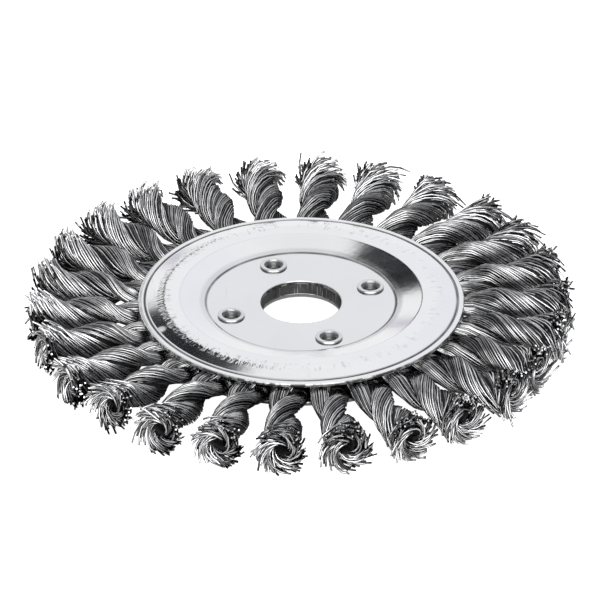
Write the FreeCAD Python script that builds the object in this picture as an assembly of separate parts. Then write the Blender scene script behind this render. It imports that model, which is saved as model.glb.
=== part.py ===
"""Twist-knot wire wheel brush: face plates riveted over a core disc that holds a ring of wire knots.

The wheel lies flat, with its axis on +Z and its origin in the middle of the bore. All lengths are in
millimetres and all angles in degrees.
"""
import FreeCAD, Part
import math
import os

from FreeCAD import Vector

# Wheel
BORE_D = 22.23
BRUSH_D = 150.0
KNOT_COUNT = 26
FIRST_KNOT_ANGLE = 2.6

# Rivets
RIVET_COUNT = 4
FIRST_RIVET_ANGLE = 21.7
RIVET_CIRCLE_R = 20.6
RIVET_SHANK_D = 4.8
RIVET_HEAD_D = 7.5
RIVET_HEAD_HEIGHT = 0.6
RIVET_CUP_D = 5.3
RIVET_CUP_DEPTH = 1.5
RIVET_ROLL = 0.2
RIVET_DOME_HEIGHT = 0.9
RIVET_CLEARANCE = 0.1

# Core disc that the knots are looped through
CORE_THICKNESS = 2.8
LOOP_SETBACK = 2.1
LOOP_HOLE_D = 5.0
CORE_EDGE_WALL = 2.5
CORE_EDGE_CHAMFER = 0.4

# Face plates: widths of the zones outside the rivets, and heights of the bends above the flat middle
SHEET = 1.2
RECESS_MARGIN = 1.55
STEP_WIDTH = 0.6
RISE_WIDTH = 6.9
CROWN_WIDTH = 4.4
FALL_WIDTH = 4.7
GROOVE_WIDTH = 1.0
LIP_WIDTH = 1.4
STEP_RISE = 0.35
CROWN_RISE = 2.15
FALL_RISE = 1.08
GROOVE_RISE = 0.78
LIP_RISE = 0.95
RIM_RISE = 0.85
RECESS_BEND = 0.6
STEP_BEND = 1.5
CROWN_BEND = 3.0
SHOULDER_BEND = 6.0
LIP_BEND = 1.5
GROOVE_BEND = 0.3
RIM_ROUNDING = 0.45
BORE_CHAMFER = 0.25

# Knots: clearances, then the radius of a strand and of the groove between the two strands
WIRE_CLEARANCE = 0.12
LOOP_CLEARANCE = 0.1
ROOT_GAP = 0.4
ROSETTE_GAP = 3.3
ROOT_STRAND_R = 2.9
ROOT_GROOVE_R = 1.8
WAIST_FROM_RIM = 12.0
WAIST_STRAND_R = 3.7
WAIST_GROOVE_R = 3.45
FLARE_DEPTH = 9.5
FLARE_STRAND_R = 4.1
FLARE_GROOVE_R = 3.95
ROSETTE_EDGE = 2.7
ROSETTE_ROUNDING = 0.6
ROSETTE_STRAND_OFFSET = 0.3
ROSETTE_DISH = 1.7
EYE_D = 3.8
EYE_DEPTH = 7.0
TWIST_PITCH = 31.0
TWIST_AT_RIM = 63.0

# Facets of a knot: how many round each strand and round the loop, and the greatest step along it
STRAND_FACETS = 6
LOOP_FACETS = 8
FACET_STEP = 3.5

BORE_R = BORE_D / 2
BRUSH_R = BRUSH_D / 2
FACE_Z = CORE_THICKNESS / 2 + SHEET
RECESS_R = RIVET_CIRCLE_R + RIVET_HEAD_D / 2 + RECESS_MARGIN
STEP_R = RECESS_R + STEP_WIDTH
CROWN_INNER_R = STEP_R + RISE_WIDTH
CROWN_OUTER_R = CROWN_INNER_R + CROWN_WIDTH
GROOVE_R = CROWN_OUTER_R + FALL_WIDTH + GROOVE_WIDTH / 2
RIM_R = GROOVE_R + GROOVE_WIDTH / 2 + LIP_WIDTH
LOOP_INNER_R = RECESS_R + LOOP_SETBACK
LOOP_CIRCLE_R = LOOP_INNER_R + LOOP_HOLE_D / 2
CORE_R = LOOP_INNER_R + LOOP_HOLE_D + CORE_EDGE_WALL
OUTLINE_POINTS = 2 * STRAND_FACETS
KNOT_STEP = 360.0 / KNOT_COUNT
AXIS = Vector(0, 0, 1)
CENTRE = Vector(0, 0, 0)


def interpolate(table, position):
    """Value at a position, on straight lines between the (position, value) pairs of a rising table."""
    if position <= table[0][0]:
        return table[0][1]
    for (start, first), (end, last) in zip(table, table[1:]):
        if position <= end:
            return first + (last - first) * (position - start) / (end - start)
    return table[-1][1]


def bent_path(corners):
    """Wire in the XZ plane through (radius, height, bend radius) corners, with a tangent arc at each."""
    edges = []
    start = Vector(corners[0][0], 0, corners[0][1])
    for before, corner, after in zip(corners, corners[1:], corners[2:]):
        point = Vector(corner[0], 0, corner[1])
        inward = (Vector(before[0], 0, before[1]) - point).normalize()
        outward = (Vector(after[0], 0, after[1]) - point).normalize()
        half_turn = (math.pi - inward.getAngle(outward)) / 2
        reach = corner[2] * math.tan(half_turn)
        depth = corner[2] / math.cos(half_turn) - corner[2]
        middle = point + (inward + outward).normalize() * depth
        arc_start = point + inward * reach
        arc_end = point + outward * reach
        edges.append(Part.makeLine(start, arc_start))
        edges.append(Part.Arc(arc_start, middle, arc_end).toShape())
        start = arc_end
    edges.append(Part.makeLine(start, Vector(corners[-1][0], 0, corners[-1][1])))
    return Part.Wire(edges)


def plate_corners():
    """Corners of the front plate's outer surface, from the bore to the rim."""
    return [
        (BORE_R, FACE_Z, 0),
        (RECESS_R, FACE_Z, RECESS_BEND),
        (STEP_R, FACE_Z + STEP_RISE, STEP_BEND),
        (CROWN_INNER_R, FACE_Z + CROWN_RISE, CROWN_BEND),
        (CROWN_OUTER_R, FACE_Z + CROWN_RISE, SHOULDER_BEND),
        (GROOVE_R - GROOVE_WIDTH / 2, FACE_Z + FALL_RISE, LIP_BEND),
        (GROOVE_R, FACE_Z + GROOVE_RISE, GROOVE_BEND),
        (GROOVE_R + GROOVE_WIDTH / 2, FACE_Z + LIP_RISE, LIP_BEND),
        (RIM_R, FACE_Z + RIM_RISE, 0),
    ]


def underside_table():
    """(radius, height) pairs of the front plate's inner surface, one sheet below the outer one."""
    corners = plate_corners()
    slopes = [math.atan2(b[1] - a[1], b[0] - a[0]) for a, b in zip(corners, corners[1:])]
    pairs = []
    for corner, before, after in zip(corners, slopes[:1] + slopes, slopes + slopes[-1:]):
        mean = (before + after) / 2
        mitre = SHEET / math.cos((after - before) / 2)
        pairs.append((corner[0] + mitre * math.sin(mean), corner[1] - mitre * math.cos(mean)))
    return pairs


def rivet_places():
    """Centres of the rivets in the wheel's middle plane."""
    places = []
    for index in range(RIVET_COUNT):
        angle = math.radians(FIRST_RIVET_ANGLE + 360.0 * index / RIVET_COUNT)
        places.append(Vector(RIVET_CIRCLE_R * math.cos(angle), RIVET_CIRCLE_R * math.sin(angle), 0))
    return places


def drill(shape, places, diameter):
    """The shape with a hole right through it, parallel to the axis, at each place."""
    depth = 4 * FACE_Z
    holes = [Part.makeCylinder(diameter / 2, depth, place - AXIS * depth / 2) for place in places]
    return shape.cut(holes)


def round_edges(shape, low_radius, high_radius):
    """Circular edges round the wheel's axis whose radius lies between two values."""
    found = []
    for edge in shape.Edges:
        curve = edge.Curve
        if isinstance(curve, Part.Circle) and curve.Center.projectToLine(CENTRE, AXIS).Length < 1e-6:
            if low_radius < curve.Radius < high_radius:
                found.append(edge)
    return found


def make_front_plate():
    """Pressed sheet plate: flat recessed middle, raised crown over the knot loops, and a lowered lip."""
    section = bent_path(plate_corners()).makeOffset2D(-SHEET, 0, True, True)
    plate = section.revolve(CENTRE, AXIS, 360)
    plate = plate.makeFillet(RIM_ROUNDING, round_edges(plate, RIM_R - SHEET / 2, RIM_R + SHEET / 2))
    plate = plate.makeChamfer(BORE_CHAMFER, round_edges(plate, BORE_R - SHEET / 2, BORE_R + SHEET / 2))
    return drill(plate, rivet_places(), RIVET_SHANK_D + 2 * RIVET_CLEARANCE)


def make_core_disc():
    """Middle disc with the bore, the rivet holes and one hole for each knot to be looped through."""
    base = -AXIS * CORE_THICKNESS / 2
    disc = Part.makeCylinder(CORE_R, CORE_THICKNESS, base)
    disc = disc.makeChamfer(CORE_EDGE_CHAMFER, round_edges(disc, CORE_R / 2, CORE_R * 2))
    disc = drill(disc, [CENTRE], BORE_D)
    disc = drill(disc, rivet_places(), RIVET_SHANK_D + 2 * RIVET_CLEARANCE)
    loops = [turned(Vector(LOOP_CIRCLE_R, 0, 0), knot_angle(index)) for index in range(KNOT_COUNT)]
    return drill(disc, loops, LOOP_HOLE_D)


def sphere_arc(edge, apex_z):
    """Half section of a spherical cap: the arc from its edge to its apex on the axis."""
    height = apex_z - edge.z
    sphere_r = (edge.x**2 + height**2) / (2 * abs(height))
    half_angle = math.asin(min(1, edge.x / sphere_r)) / 2
    centre_z = apex_z - math.copysign(sphere_r, height)
    middle_z = centre_z + math.copysign(sphere_r * math.cos(half_angle), height)
    return Part.Arc(edge, Vector(sphere_r * math.sin(half_angle), 0, middle_z), Vector(0, 0, apex_z))


def make_rivet(place):
    """Rivet with a cupped, rolled head on the front plate and a low domed head on the rear one."""
    shank_r, head_r, cup_r = RIVET_SHANK_D / 2, RIVET_HEAD_D / 2, RIVET_CUP_D / 2
    top = FACE_Z + RIVET_HEAD_HEIGHT
    cup_edge = Vector(cup_r, 0, top - RIVET_ROLL)
    rim_top = Vector((cup_r + head_r) / 2, 0, top)
    rim_foot = Vector(head_r, 0, top - 2 * RIVET_ROLL)
    head_foot = Vector(head_r, 0, FACE_Z)
    neck = Vector(shank_r, 0, FACE_Z)
    tail = Vector(shank_r, 0, -FACE_Z)
    tail_foot = Vector(head_r, 0, -FACE_Z)
    cup = sphere_arc(cup_edge, top - RIVET_CUP_DEPTH)
    dome = sphere_arc(tail_foot, -FACE_Z - RIVET_DOME_HEIGHT)
    section = [
        cup.toShape(),
        Part.Arc(cup_edge, rim_top, rim_foot).toShape(),
        Part.makeLine(rim_foot, head_foot),
        Part.makeLine(head_foot, neck),
        Part.makeLine(neck, tail),
        Part.makeLine(tail, tail_foot),
        dome.toShape(),
        Part.makeLine(dome.EndPoint, cup.EndPoint),
    ]
    rivet = Part.Face(Part.Wire(section)).revolve(CENTRE, AXIS, 360)
    rivet.translate(place)
    return rivet


def knot_angle(index):
    """Direction of a knot round the wheel."""
    return FIRST_KNOT_ANGLE + index * KNOT_STEP


def turned(point, angle):
    """A point turned round the wheel's axis."""
    return FreeCAD.Rotation(AXIS, angle).multVec(point)


def pitch_at(radius):
    """Distance between the centre lines of neighbouring knots at a radius."""
    return 2 * radius * math.sin(math.radians(KNOT_STEP / 2))


def press(points, half_width, half_height):
    """Outline squeezed to fit between its neighbours and between the plates."""
    wide = max(abs(point.y) for point in points)
    tall = max(abs(point.z) for point in points)
    across = min(1, half_width / wide)
    upward = min(1, half_height / tall)
    return [Vector(point.x, point.y * across, point.z * upward) for point in points]


def leg_outline(radius):
    """Outline of the upper leg where it lies on the core disc: a flat-topped arch, open side down."""
    foot = CORE_THICKNESS / 2 + WIRE_CLEARANCE
    half_width = (pitch_at(radius) - ROOT_GAP) / 2
    height = interpolate(underside_table(), radius) - WIRE_CLEARANCE - foot
    points = []
    for index in range(STRAND_FACETS + 1):
        angle = math.pi * index / STRAND_FACETS
        arch = math.sqrt(max(0.0, math.sin(angle)))
        points.append(Vector(radius, half_width * math.cos(angle), foot + height * arch))
    return points


def twist_angle(radius):
    """Angle of the first strand's centre round the knot's centre line."""
    if radius <= RIM_R:
        return 90 + TWIST_AT_RIM * (radius - CORE_R) / (RIM_R - CORE_R)
    return 90 + TWIST_AT_RIM + 360 * (radius - RIM_R) / TWIST_PITCH


def strand_tables():
    """Two tables from the rim to the tip: radius of a strand, and its offset from the centre line."""
    waist_r = RIM_R + WAIST_FROM_RIM
    flare_r = BRUSH_R - FLARE_DEPTH
    edge_r = BRUSH_R - ROSETTE_EDGE
    edge_strand_r = (pitch_at(edge_r) - ROSETTE_GAP) / 2 - ROSETTE_STRAND_OFFSET
    strand_radii = [
        (RIM_R, ROOT_STRAND_R),
        (waist_r, WAIST_STRAND_R),
        (flare_r, FLARE_STRAND_R),
        (edge_r, edge_strand_r),
        (BRUSH_R, edge_strand_r - ROSETTE_ROUNDING),
    ]
    offsets = [
        (RIM_R, math.sqrt(ROOT_STRAND_R**2 - ROOT_GROOVE_R**2)),
        (waist_r, math.sqrt(WAIST_STRAND_R**2 - WAIST_GROOVE_R**2)),
        (flare_r, math.sqrt(FLARE_STRAND_R**2 - FLARE_GROOVE_R**2)),
        (edge_r, ROSETTE_STRAND_OFFSET),
    ]
    return strand_radii, offsets


def bundle_outline(radius):
    """Outline of the two twisted strands together: two overlapping circles, pressed flat in the plates."""
    strand_radii, offsets = strand_tables()
    strand_r = interpolate(strand_radii, radius)
    offset = interpolate(offsets, radius)
    turn = math.radians(twist_angle(radius))
    points = []
    for index in range(OUTLINE_POINTS):
        angle = 2 * math.pi * index / OUTLINE_POINTS - math.pi / 2
        reach = offset * abs(math.cos(angle)) + math.sqrt(strand_r**2 - (offset * math.sin(angle)) ** 2)
        points.append(Vector(radius, reach * math.cos(turn + angle), reach * math.sin(turn + angle)))
    half_width = (pitch_at(radius) - ROOT_GAP) / 2
    half_height = offset + strand_r
    if radius <= RIM_R:
        half_height = interpolate(underside_table(), radius) - WIRE_CLEARANCE
    return press(points, half_width, half_height)


def eye_outline(radius):
    """Outline of the round hole in the middle of the knot's end."""
    turn = math.radians(twist_angle(BRUSH_R))
    points = []
    for index in range(OUTLINE_POINTS):
        angle = turn + 2 * math.pi * index / OUTLINE_POINTS - math.pi / 2
        points.append(Vector(radius, EYE_D / 2 * math.cos(angle), EYE_D / 2 * math.sin(angle)))
    return points


def skin(first, second):
    """Flat triangles between two outlines with as many points."""
    count = len(first)
    faces = []
    for index in range(count):
        after = (index + 1) % count
        faces.append(flat_face([first[index], first[after], second[index]]))
        faces.append(flat_face([first[after], second[after], second[index]]))
    return faces


def flat_face(points):
    """Flat face with these corners."""
    return Part.Face(Part.makePolygon(points + points[:1]))


def loop_plug():
    """The bundle where it passes through its hole in the core disc, from one leg into the other."""
    reach = CORE_THICKNESS / 2 + 2 * WIRE_CLEARANCE
    radius = LOOP_HOLE_D / 2 - LOOP_CLEARANCE
    points = []
    for index in range(LOOP_FACETS):
        angle = 2 * math.pi * (index + 0.5) / LOOP_FACETS
        points.append(Vector(LOOP_CIRCLE_R + radius * math.cos(angle), radius * math.sin(angle), -reach))
    return flat_face(points).extrude(AXIS * 2 * reach)


def make_knot():
    """Knot on +X: a bundle looped through the core disc, with two legs twisted into a flared end."""
    join_r = (CORE_R + RIM_R) / 2
    under_plate = [radius for radius in (CROWN_OUTER_R, GROOVE_R, RIM_R) if radius > join_r]
    edge_r = BRUSH_R - ROSETTE_EDGE
    on_disc = [radius for radius in (CROWN_INNER_R, CROWN_OUTER_R) if LOOP_CIRCLE_R < radius < CORE_R]
    leg_radii = [LOOP_INNER_R] + on_disc + [CORE_R]
    steps = math.ceil((edge_r - RIM_R) / FACET_STEP)
    outside = [RIM_R + (edge_r - RIM_R) * step / steps for step in range(1, steps + 1)] + [BRUSH_R]
    bundles = [bundle_outline(radius) for radius in [join_r] + under_plate + outside]

    upper_join = bundles[0][: STRAND_FACETS + 1]
    lower_join = bundles[0][STRAND_FACETS:] + bundles[0][:1]
    upper = [leg_outline(radius) for radius in leg_radii] + [upper_join]
    lower = [[Vector(p.x, -p.y, -p.z) for p in outline] for outline in upper[:-1]] + [lower_join]

    faces = []
    for leg in (upper, lower):
        faces.append(flat_face(leg[0]))
        for first, second in zip(leg, leg[1:]):
            faces += skin(first, second)
    for first, second in zip(bundles, bundles[1:]):
        faces += skin(first, second)

    eye_mouth = eye_outline(BRUSH_R - ROSETTE_DISH)
    eye_floor = eye_outline(BRUSH_R - EYE_DEPTH)
    faces += skin(bundles[-1], eye_mouth) + skin(eye_mouth, eye_floor)
    faces.append(flat_face(eye_floor))

    shell = Part.makeShell(faces)
    shell.sewShape()
    knot = Part.makeSolid(shell)
    if knot.Volume < 0:
        knot.reverse()
    return knot.fuse(loop_plug()).removeSplitter()


def make_parts():
    """All pieces of the wheel by name."""
    front = make_front_plate()
    parts = {
        "front_plate": front,
        "rear_plate": front.mirror(CENTRE, AXIS),
        "core_disc": make_core_disc(),
    }
    for number, place in enumerate(rivet_places(), 1):
        parts[f"rivet_{number}"] = make_rivet(place)
    knot = make_knot()
    for index in range(KNOT_COUNT):
        parts[f"knot_{index + 1:02d}"] = knot.rotated(CENTRE, AXIS, knot_angle(index))
    return parts


def main():
    """Write one STEP file for each piece."""
    os.makedirs("parts", exist_ok=True)
    for name, shape in make_parts().items():
        solid = shape.Solids[0]
        solid.exportStep(f"parts/{name}.step")
        print(name, "valid" if solid.isValid() else "NOT VALID", len(shape.Solids), round(solid.Volume, 2))


if __name__ == "__main__":
    main()
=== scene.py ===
"""Twist-knot wire wheel brush: the wires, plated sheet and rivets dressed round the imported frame."""
import math

import bmesh
import bpy
import numpy as np
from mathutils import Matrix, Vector


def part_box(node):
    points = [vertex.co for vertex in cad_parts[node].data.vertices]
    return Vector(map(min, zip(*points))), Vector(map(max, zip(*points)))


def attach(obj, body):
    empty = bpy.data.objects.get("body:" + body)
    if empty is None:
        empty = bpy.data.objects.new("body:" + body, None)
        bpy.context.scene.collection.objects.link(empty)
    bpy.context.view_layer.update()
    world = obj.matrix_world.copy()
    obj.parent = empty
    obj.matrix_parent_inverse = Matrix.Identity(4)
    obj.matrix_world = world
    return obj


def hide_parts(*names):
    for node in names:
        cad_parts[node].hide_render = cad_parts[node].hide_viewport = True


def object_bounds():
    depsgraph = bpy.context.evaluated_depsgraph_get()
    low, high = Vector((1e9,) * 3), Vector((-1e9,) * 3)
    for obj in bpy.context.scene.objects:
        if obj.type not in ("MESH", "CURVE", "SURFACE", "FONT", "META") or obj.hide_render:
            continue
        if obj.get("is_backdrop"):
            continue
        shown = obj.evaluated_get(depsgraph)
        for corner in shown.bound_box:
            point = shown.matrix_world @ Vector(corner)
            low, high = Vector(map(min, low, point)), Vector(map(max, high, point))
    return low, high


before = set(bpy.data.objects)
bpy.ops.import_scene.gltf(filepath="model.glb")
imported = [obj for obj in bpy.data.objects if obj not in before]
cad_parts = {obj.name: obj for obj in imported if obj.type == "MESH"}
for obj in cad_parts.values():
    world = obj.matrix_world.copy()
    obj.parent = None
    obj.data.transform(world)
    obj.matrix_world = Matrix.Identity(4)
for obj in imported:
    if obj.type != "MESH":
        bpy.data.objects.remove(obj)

bl_info = {
    "name": "Wire wheel brush",
    "version": (1, 0, 0),
    "blender": (4, 5, 0),
    "location": "3D View > Sidebar > Brush",
    "description": "Builds the knots, face plates, core disc and rivets of a twist-knot wire wheel",
    "category": "Add Mesh",
}

MM = 0.001
BODY = "root"
KNOTS = sorted(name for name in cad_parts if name.startswith("knot_"))
RIVETS = sorted(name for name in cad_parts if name.startswith("rivet_"))
PLATES = ("front_plate", "rear_plate")

# Sizes shared with the solids, in millimetres
BORE_R = 11.115
SHEET = 1.2
FACE_Z = 2.6
RECESS_R = 25.9
STEP_R = 26.5
CROWN_INNER_R = 33.4
CROWN_OUTER_R = 37.8
GROOVE_R = 43.0
GROOVE_WIDTH = 1.0
RIM_R = 44.9
LOOP_R = 30.5
SHANK_R = 2.4
HEAD_R = 3.75
CUP_R = 2.65
KNOT_STEP = 360.0 / len(KNOTS)
FIRST_KNOT_ANGLE = 2.6

# Radius of the wall of a rivet's cup, and of a rivet's hole, in millimetres
CUP_WALL_R = 2.5
DRILL_R = 2.5

# Twist of a knot: degrees at the rim, then degrees a millimetre between the plates and outside them
RIM_TWIST = 153.0
INNER_TWIST_RATE = 6.7
OUTER_TWIST_RATE = 11.6

# Along a knot, in millimetres: how far past the rim its wires are still untwisted, where the plates press
# it, where its wires start and where they flare
STRAIGHT_RUN = 7.0
PRESSED_AT = (CROWN_OUTER_R, GROOVE_R, RIM_R, 47.0, 49.5, 52.5, 55.0)
WIRES_FROM_R = 42.5
FLARE_R = 61.0

# Divisions round a plate, a rivet, a drill and a knot's inside, along a wire and round it, and the points
# that a wire's line is worked out at
PLATE_SIDES = 240
RIVET_SIDES = 96
DRILL_SIDES = 48
HEART_SIDES = 20
WIRE_STATIONS = 16
WIRE_SIDES = 4
LINE_POINTS = 110


def axis_of(node):
    """Centre of a node's box, in millimetres."""
    low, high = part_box(node)
    return (np.array(low) + np.array(high)) / 2 / MM


def smooth(t):
    """The S-curve 3t^2 - 2t^3 of t held between 0 and 1."""
    t = np.clip(t, 0.0, 1.0)
    return t * t * (3.0 - 2.0 * t)


def unit(vectors):
    """Vectors along the last axis, divided by their lengths."""
    return vectors / np.maximum(np.linalg.norm(vectors, axis=-1, keepdims=True), 1e-9)


def grid_faces(rows, columns, wrap_rows, wrap_columns):
    """Quads between the neighbouring rows and columns of a grid, closed onto its start where it wraps."""
    row = np.arange(rows if wrap_rows else rows - 1)[:, None]
    column = np.arange(columns if wrap_columns else columns - 1)[None, :]
    below = (row + 1) % rows
    beside = (column + 1) % columns
    corners = [
        row * columns + column,
        row * columns + beside,
        below * columns + beside,
        below * columns + column,
    ]
    return np.stack(np.broadcast_arrays(*corners), axis=-1).reshape(-1, 4)


def signed_volume(points, quads):
    """Six times the volume that the quads enclose: the sum of the triple products of their triangles."""
    a, b, c, d = (points[quads[:, index]] for index in range(4))
    first = np.einsum("ij,ij->i", a, np.cross(b, c))
    second = np.einsum("ij,ij->i", a, np.cross(c, d))
    return float(first.sum() + second.sum())


def outward(points, quads):
    """The quads turned so that the volume they enclose is positive, which points them outwards."""
    return quads if signed_volume(points, quads) > 0 else quads[:, ::-1]


def stacked(parts):
    """Points and quads of several closed shapes as one mesh, each shape's faces pointing outwards."""
    points, quads, count = [], [], 0
    for part, faces in parts:
        points.append(part)
        quads.append(outward(part, faces) + count)
        count += len(part)
    return np.vstack(points), np.vstack(quads)


def make_mesh(name, points, quads, sharp=30.0, flat=None, tones_and_light=None, finish=None):
    """Mesh from points in millimetres and quads, smooth but for the edges over the sharp angle.

    Rings of zero radius close to one point. Flat, tones_and_light and finish are the flat-shaded faces, the
    points' lightness, random with painted light on it, and the faces' material numbers.
    """
    mesh = bpy.data.meshes.new(name)
    mesh.vertices.add(len(points))
    mesh.vertices.foreach_set("co", (points * MM).astype(np.float32).ravel())
    mesh.loops.add(quads.size)
    mesh.loops.foreach_set("vertex_index", quads.astype(np.int32).ravel())
    mesh.polygons.add(len(quads))
    mesh.polygons.foreach_set("loop_start", np.arange(0, quads.size, 4, dtype=np.int32))
    mesh.update(calc_edges=True)
    mesh.validate()
    is_flat = np.zeros(len(quads), dtype=bool) if flat is None else flat
    mesh.polygons.foreach_set("use_smooth", ~is_flat)
    if finish is not None:
        mesh.polygons.foreach_set("material_index", finish.astype(np.int32))
    if tones_and_light is not None:
        layer = mesh.attributes.new("wire_tone_and_light", "FLOAT", "POINT")
        layer.data.foreach_set("value", tones_and_light.astype(np.float32))
    close_poles(mesh)
    if sharp:
        mesh.set_sharp_from_angle(angle=math.radians(sharp))
    return mesh


def close_poles(mesh):
    """Merge the points that lie on one another, which is how a ring of zero radius becomes a pole."""
    work = bmesh.new()
    work.from_mesh(mesh)
    bmesh.ops.remove_doubles(work, verts=work.verts, dist=1e-8)
    work.to_mesh(mesh)
    work.free()


def add_piece(name, mesh, materials, slot, *nodes):
    """Object at the origin that rides on the body, stands for the nodes and takes the materials. The slot is
    not used.
    """
    piece = bpy.data.objects.new(name, mesh)
    bpy.context.scene.collection.objects.link(piece)
    for material in materials:
        mesh.materials.append(material)
    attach(piece, BODY)
    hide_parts(*nodes)
    return piece


def filleted(corners, steps=6, lead=0.05):
    """Closed outline with an arc at each corner of (radius, height, bend radius).

    An arc of bend radius b at a corner whose edges turn through the angle w touches both edges at b tan(w/2)
    from the corner. Its centre lies b / cos(w/2) from the corner along the bisector. A point a short lead
    before and after each arc keeps the flat stretches flat where the surface is shaded smooth.
    """
    corners = np.asarray(corners, dtype=float)
    points, bends = corners[:, :2], corners[:, 2:3]
    before = unit(np.roll(points, 1, axis=0) - points)
    after = unit(np.roll(points, -1, axis=0) - points)
    turn = np.pi - np.arccos(np.clip((before * after).sum(axis=1, keepdims=True), -1, 1))
    reach = bends * np.tan(turn / 2)
    bisector = unit(before + after)
    centre = points + bisector * bends / np.cos(turn / 2)
    start = points + before * reach - centre
    side = np.sign(before[:, :1] * after[:, 1:] - before[:, 1:] * after[:, :1])
    angles = -side * turn * np.linspace(0, 1, steps + 1)[None, :]
    cosine, sine = np.cos(angles), np.sin(angles)
    arc_x = centre[:, :1] + start[:, :1] * cosine - start[:, 1:] * sine
    arc_y = centre[:, 1:] + start[:, :1] * sine + start[:, 1:] * cosine
    lead_in = points + before * (reach + lead)
    lead_out = points + after * (reach + lead)
    x = np.concatenate([lead_in[:, :1], arc_x, lead_out[:, :1]], axis=1)
    y = np.concatenate([lead_in[:, 1:], arc_y, lead_out[:, 1:]], axis=1)
    return np.stack([x, y], axis=-1).reshape(-1, 2)


def turned_solid(outline, centre, segments, closed=True):
    """Points and quads of an outline of (radius, height) carried once round the vertical axis at centre.

    The outline is closed, or else starts and ends on the axis.
    """
    angle = 2 * np.pi * np.arange(segments) / segments
    radius, height = outline[:, :1], outline[:, 1:]
    points = np.stack(
        [
            centre[0] + radius * np.cos(angle),
            centre[1] + radius * np.sin(angle),
            centre[2] + np.broadcast_to(height, (len(outline), segments)),
        ],
        axis=-1,
    )
    points = points.reshape(-1, 3)
    return points, outward(points, grid_faces(len(outline), segments, closed, True))


def plate_outline(settings):
    """Closed section of the front plate: its outer bends, the rim, and the same bends one sheet lower.

    A bend is given by radius, height and bend radius. Where the sheet s turns through the angle w, its lower
    bend lies s / cos(w/2) from the upper one along the bisector, and its bend radius differs by s.
    """
    bore_rounding = 0.25
    lip = (settings.rim_rise + 0.0001) / MM
    outer = np.array(
        [
            (RECESS_R, 0.0, 0.6),
            (STEP_R, settings.step_rise / MM, 1.5),
            (CROWN_INNER_R, settings.crown_rise / MM, 3.0),
            (CROWN_OUTER_R, settings.crown_rise / MM, 6.0),
            (GROOVE_R - GROOVE_WIDTH / 2, lip + 0.13, 1.5),
            (GROOVE_R, settings.groove_rise / MM, 0.3),
            (GROOVE_R + GROOVE_WIDTH / 2, lip, 1.5),
        ]
    )
    outer[:, 1] += FACE_Z
    rim = np.array([RIM_R, FACE_Z + settings.rim_rise / MM])
    stations = np.vstack([[BORE_R, FACE_Z], outer[:, :2], rim])
    slopes = np.arctan2(*np.diff(stations, axis=0).T[::-1])
    mean = (slopes[:-1] + slopes[1:]) / 2
    bend = slopes[1:] - slopes[:-1]
    mitre = SHEET / np.cos(bend / 2)
    inner = outer.copy()
    inner[:, 0] += mitre * np.sin(mean)
    inner[:, 1] -= mitre * np.cos(mean)
    inner[:, 2] += SHEET * np.sign(bend)
    under_rim = rim + SHEET * np.array([math.sin(slopes[-1]), -math.cos(slopes[-1])])
    edge = settings.rim_rounding / MM
    rim_corners = [(*rim, edge), (*under_rim, edge)]
    bore_corners = [(BORE_R, FACE_Z - SHEET, bore_rounding), (BORE_R, FACE_Z, bore_rounding)]
    return filleted(np.vstack([outer, rim_corners, inner[::-1], bore_corners]))


def steep_rows(outline, angle=25):
    """Which stretches of a closed outline rise within an angle of the axis, in degrees."""
    ahead = unit(np.roll(outline, -1, axis=0) - outline)
    return np.abs(ahead[:, 1]) > math.cos(math.radians(angle))


def sheared_rows(outline, mouth):
    """Stretches that the blanking tool tore: the rim's edge, and the bore's wall past its smooth mouth."""
    near_rim, near_bore = 0.5, 0.3
    middle = (outline + np.roll(outline, -1, axis=0)) / 2
    rim = (middle[:, 0] > RIM_R - near_rim) & steep_rows(outline, 55)
    bore = (middle[:, 0] < BORE_R + near_bore) & (middle[:, 1] < FACE_Z - mouth)
    return rim | (bore & steep_rows(outline))


def rivet_outline(settings):
    """Section of a rivet from the floor of its cup to the top of its rear dome, both on the axis.

    The dome is a cap of the sphere whose radius is (r^2 + h^2) / 2h for the head's radius r and height h.
    """
    top = FACE_Z + settings.head_height / MM
    tail = settings.dome_height / MM
    corners = [
        (0.0, top - settings.cup_depth / MM, 0.0),
        (1.4, top - settings.cup_depth / MM, 0.6),
        (1.9, top - 0.8, 0.4),
        (CUP_WALL_R, top - 0.4, 0.35),
        (CUP_R - 0.06, top - 0.04, 0.06),
        (CUP_R + 0.16, top, 0.16),
        (HEAD_R - 0.18, top, 0.2),
        (HEAD_R, top - 0.28, 0.15),
        (HEAD_R - 0.04, FACE_Z - 0.005, 0.02),
        (SHANK_R, FACE_Z - 0.005, 0.0),
        (SHANK_R, -FACE_Z, 0.0),
        (HEAD_R, -FACE_Z, 0.03),
        (0.0, -FACE_Z - tail, 0.0),
    ]
    section = filleted(corners)
    each = len(section) // len(corners)
    ball = (HEAD_R**2 + tail**2) / (2 * tail)
    angle = np.linspace(math.asin(HEAD_R / ball), 0, 12)[1:]
    dome = np.stack([ball * np.sin(angle), ball - FACE_Z - tail - ball * np.cos(angle)], axis=1)
    return np.vstack([section[each - 1 : -each - 1], dome])


def bore_plates(piece, places):
    """Rivet holes cut right through the piece by cylinders, with the Boolean's result kept as its mesh."""
    reach = 9.0
    outline = np.array([(0.0, -reach), (DRILL_R, -reach), (DRILL_R, reach), (0.0, reach)])
    drills = [turned_solid(outline, place, DRILL_SIDES, closed=False) for place in places]
    cutter = bpy.data.objects.new("rivet_drills", make_mesh("rivet_drills", *stacked(drills)))
    bpy.context.scene.collection.objects.link(cutter)
    holes = piece.modifiers.new("rivet_holes", "BOOLEAN")
    holes.operation = "DIFFERENCE"
    holes.solver = "EXACT"
    holes.object = cutter
    graph = bpy.context.evaluated_depsgraph_get()
    mesh = bpy.data.meshes.new_from_object(piece.evaluated_get(graph))
    piece.modifiers.clear()
    old = piece.data
    piece.data = mesh
    mesh.name = old.name + "_bored"
    mesh.set_sharp_from_angle(angle=math.radians(30))
    bpy.data.objects.remove(cutter)


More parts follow.
